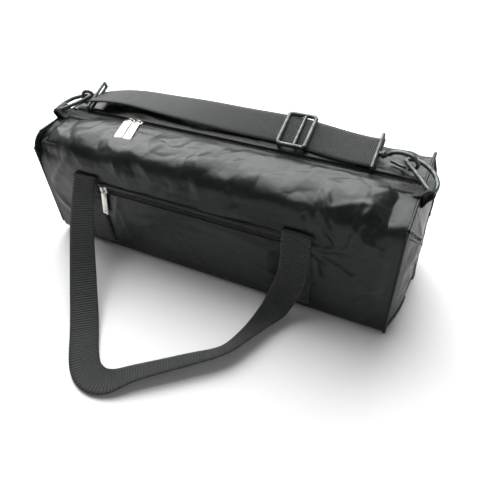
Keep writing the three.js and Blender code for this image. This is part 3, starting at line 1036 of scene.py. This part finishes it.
def build_pocket():
    rng = np.random.default_rng(5)
    x0, x1 = POCKET_X
    columns, rows = 200, 70
    x = np.linspace(x0, x1, columns)
    z = np.linspace(17, 97.5, rows)
    gx, gz = np.meshgrid(x, z, indexing="ij")
    base = np.interp(gz, *np.array([(k, wall_y(k)) for k in np.linspace(10, 110, 30)]).T)
    tx, tz = (gx - x0) / (x1 - x0), (gz - 17) / 80.5
    puff = np.clip(np.minimum(tx, 1 - tx) * 16, 0, 1) ** 0.6 * np.clip(tz * 9, 0, 1) ** 0.6
    creases = scattered(rng, 30, (x0, x1), (25, 92), (20, 70), (3, 6), (0.25, 0.8), (-60, 60))
    creases += [(x0 + 16, 70, 70, 60, 4, 1.0), (x0 + 26, 50, 100, 70, 4, 0.9), (60, 84, -6, 110, 5, 0.9),
                (-20, 88, 4, 120, 5, 0.8)]
    lift = 0.7 + 1.2 * puff + folds(gx, gz, creases) * puff
    vertices = np.stack([gx, base - lift, gz], -1).reshape(-1, 3)
    uvs = np.stack([gx, gz], -1).reshape(-1, 2) * MM
    piece = make("pocket_cloth", vertices, grid_faces(columns, rows), NYLON, uvs=uvs)
    thicken(piece, 1.0, -1)
    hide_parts("pocket_panel")
    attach(piece, CASE)
    build_pocket_zip()


def build_pocket_zip():
    x0, x1 = POCKET_X
    y = wall_y(POCKET_ZIP_Z) - 1.2
    for name, low, high, node in (("lower", 95.5, 98.2, None), ("upper", 103.8, 109, "pocket_zip_tape")):
        section = [(low, 0.0), (low + 0.6, 1.0), ((low + high) / 2, 1.35), (high - 0.6, 1.0), (high, 0.0)]
        outline = [(y - lift, z) for z, lift in section]
        piece = tape(f"pocket_zip_{name}_welt", x0, x1, outline, NYLON)
        if node:
            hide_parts(node)
        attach(piece, CASE)
        middle = (low + high) / 2
        seam = stitches(f"pocket_zip_{name}_stitching",
                        [(x0 + 2, y - 1.6, middle), (x1 - 2, y - 1.6, middle)], (0, -1, 0), 3.0, 2.1, 0.32)
        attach(seam, CASE)
    band = tape("pocket_zip_band", x0, x1, [(y + 0.2, 97.5), (y, 99), (y, 101), (y, 103), (y + 0.2, 104.5)])
    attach(band, CASE)
    coil = teeth("pocket_zip_coil", x0 + 1, x1 - 1, y - 0.3, POCKET_ZIP_Z, 1.5, (0, -1, 0), (0, 0, 1))
    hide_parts("pocket_zip_chain")
    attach(coil, CASE)
    slider_x = x0 + 7
    origin = (slider_x, y - 1.4, POCKET_ZIP_Z)
    axes = [(-1, 0, 0), (0, 0, 1), (0, -1, 0)]
    arch = [(0, 3.0, 1.0), (0, 2.6, 2.8), (0, -2.6, 2.8), (0, -3.4, 1.0)]
    build_slider("pocket_slider_body", "pocket_slider", "pocket_slider", origin, axes, arch)
    lean_cos, lean_sin = math.cos(PULL_LEAN), math.sin(PULL_LEAN)
    pull_plate("pocket_pull_plate", "pocket_pull", "pocket_pull", (slider_x, y - 2.6, 97.0),
               [(lean_cos, 0, -lean_sin), (lean_sin, 0, lean_cos), (0, -1, 0)], 7.5, 34, 1.3)


# ------------------------------------------------------------------ strap hardware


def buckle():
    """The slide buckle's frame and middle bar, round in section."""
    tilt = STRAP_TILT
    across = np.array([0, math.cos(tilt), math.sin(tilt)])
    normal = np.array([0, -math.sin(tilt), math.cos(tilt)])
    centre = np.array([76.0, STRAP_Y + 1, STRAP_Z + 1.6]) + normal * 2.6
    half_x, half_w = 15.5, 21.5
    loop = []
    for px, pw in rounded_rectangle(half_x, -half_w, half_w, 4, 5):
        loop.append(centre + np.array([1, 0, 0]) * px + across * pw)
    outer = sweep("frame", loop, 2.5, STEEL, 12, 140, closed=True)
    bar = [centre + across * w + np.array([3.5, 0, 0]) for w in (-half_w, 0, half_w)]
    bar = sweep("bar", bar, 2.0, STEEL, 12, 20)
    piece = join("slide_buckle", [outer, bar])
    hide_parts("tri_glide")
    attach(piece, "tri_glide")


def build_hook_set(name, side, start):
    """Strap loop, swivel hook, gate, ring and tab; the loop's middle is at start along X."""
    def out(x, y, z):
        if x < HOOK_END:
            x = start + (x - LOOP_X) * (HOOK_END - start) / (HOOK_END - LOOP_X)
        return (side * x, y - STRAP_FORWARD, z)

    tilt = STRAP_TILT
    across = np.array([0, math.cos(tilt), math.sin(tilt)])
    normal = np.array([0, -math.sin(tilt), math.cos(tilt)])
    loop = []
    for pn, pw in rounded_rectangle(3.2, -21.5, 21.5, 2.4, 5):
        centre = np.array([side * start, STRAP_Y - STRAP_FORWARD, STRAP_Z])
        loop.append(centre + normal * pn + across * pw)
    piece = sweep(f"strap_loop_{name}_wire", loop, 1.9, STEEL, 12, 150, closed=True)
    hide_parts(f"strap_loop_{name}")
    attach(piece, CASE)

    post = [out(167.5, 31, 160.4), out(170, 30.4, 160.4), out(176, 30, 160.5)]
    swivel = sweep(f"swivel_{name}_post", post,
                   lambda t: 2.4 + 2.0 * math.exp(-((t - 0.62) / 0.22) ** 2), STEEL, 16, 30)
    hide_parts(f"swivel_{name}")
    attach(swivel, f"hook_{name}")
    spine = [out(177.5, 30, 162), out(183, 29, 166), out(192, 27, 168.3), out(202, 24, 167.7),
             out(208, 22, 161.5), out(205, 23, 155.3), out(200, 24.5, 153.5)]
    hook = sweep(f"hook_{name}_wire", spine, lambda t: 2.3 - 0.5 * t, STEEL, 14, 70)
    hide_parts(f"hook_{name}")
    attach(hook, f"hook_{name}")
    bar = [out(181, 29.5, 155), out(189, 27.5, 153.9), out(196.5, 25.5, 153.5)]
    gate = sweep(f"hook_{name}_gate_bar", bar, 1.5, STEEL, 12, 24)
    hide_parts(f"hook_gate_{name}")
    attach(gate, f"hook_gate_{name}")
    ring_points = [
        out(196, 27, 160), out(204, 17, 159.5), out(214, 5, 158), out(224, -6, 155.5),
        out(229, -6, 154.8), out(230, 5, 156), out(224, 18, 158.5), out(212, 28, 160.5), out(201, 31, 161),
    ]
    ring = sweep(f"d_ring_{name}_wire", ring_points, 2.3, STEEL, 14, 140, closed=True)
    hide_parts(f"d_ring_{name}")
    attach(ring, f"d_ring_{name}")
    tab_line = [out(212, -2, 147.6), out(219, -2, 150.5), out(226, -2, 157.6), out(230.5, -2, 153),
                out(226, -2, 146), out(222, -2, 138)]
    tab, _ = webbing(f"ring_tab_{name}_web", [(*p, 0, 1, 0) for p in tab_line], 20, 60)
    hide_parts(f"ring_tab_{name}")
    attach(tab, CASE)


add_camera()
add_studio()
build_walls()
build_ends()
build_bottom()
build_padding()
build_handles()
build_strap()
build_top_zip()
build_top_sliders()
build_pocket()
buckle()
build_hook_set("left", -1, LEFT_LOOP_X)
build_hook_set("right", 1, LOOP_X)
